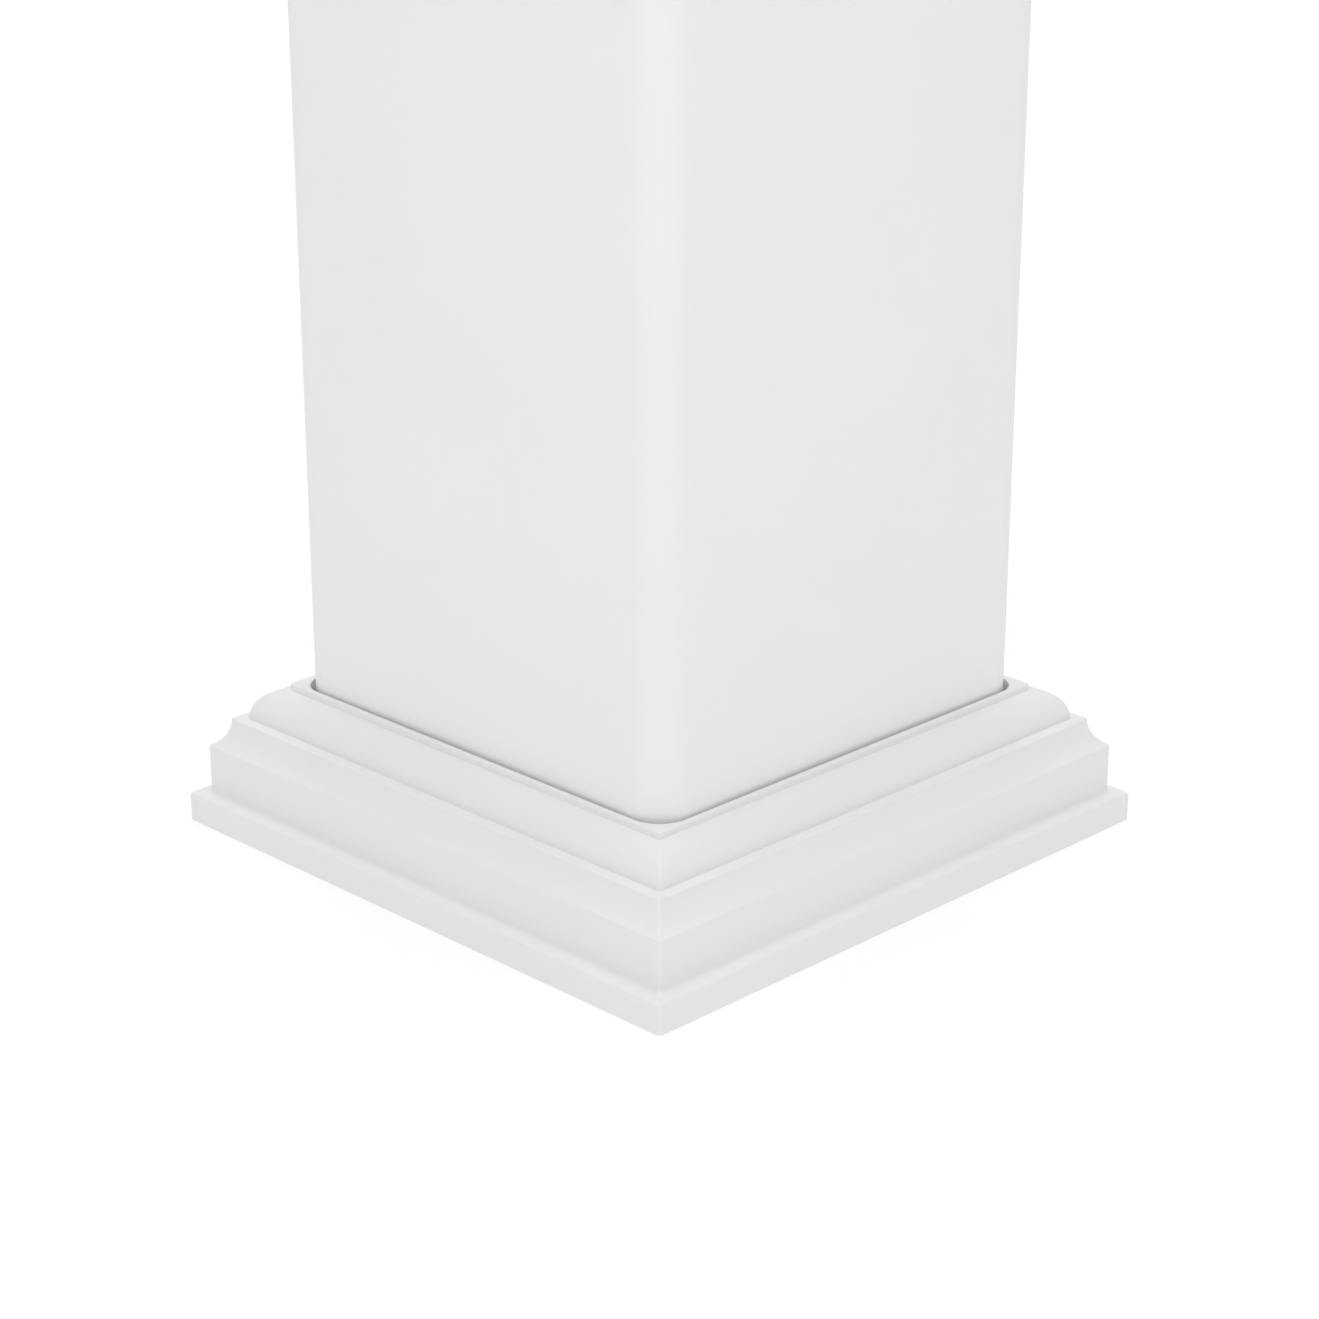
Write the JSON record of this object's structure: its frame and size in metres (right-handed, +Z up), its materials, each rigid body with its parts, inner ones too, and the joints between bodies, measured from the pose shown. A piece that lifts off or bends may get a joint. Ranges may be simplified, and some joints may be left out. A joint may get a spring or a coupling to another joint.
{
  "type": "deck post sleeve",
  "caption": "Square hollow sleeve for a timber deck post, open at both ends, with a moulded base skirt round its foot.",
  "frame": {"origin": "middle of the foot, on the deck surface", "axes": "+Z up along the sleeve; +X and +Y square to two of its faces"},
  "size_m": [0.1504, 0.1504, 0.991],
  "materials": {
    "sleeve_white": "extruded white plastic with a satin skin",
    "skirt_white": "moulded white plastic with a fine satin texture"
  },
  "bodies": {
    "root": {"sleeve": "sleeve_white", "base_skirt": "skirt_white"}
  },
  "joints": []
}
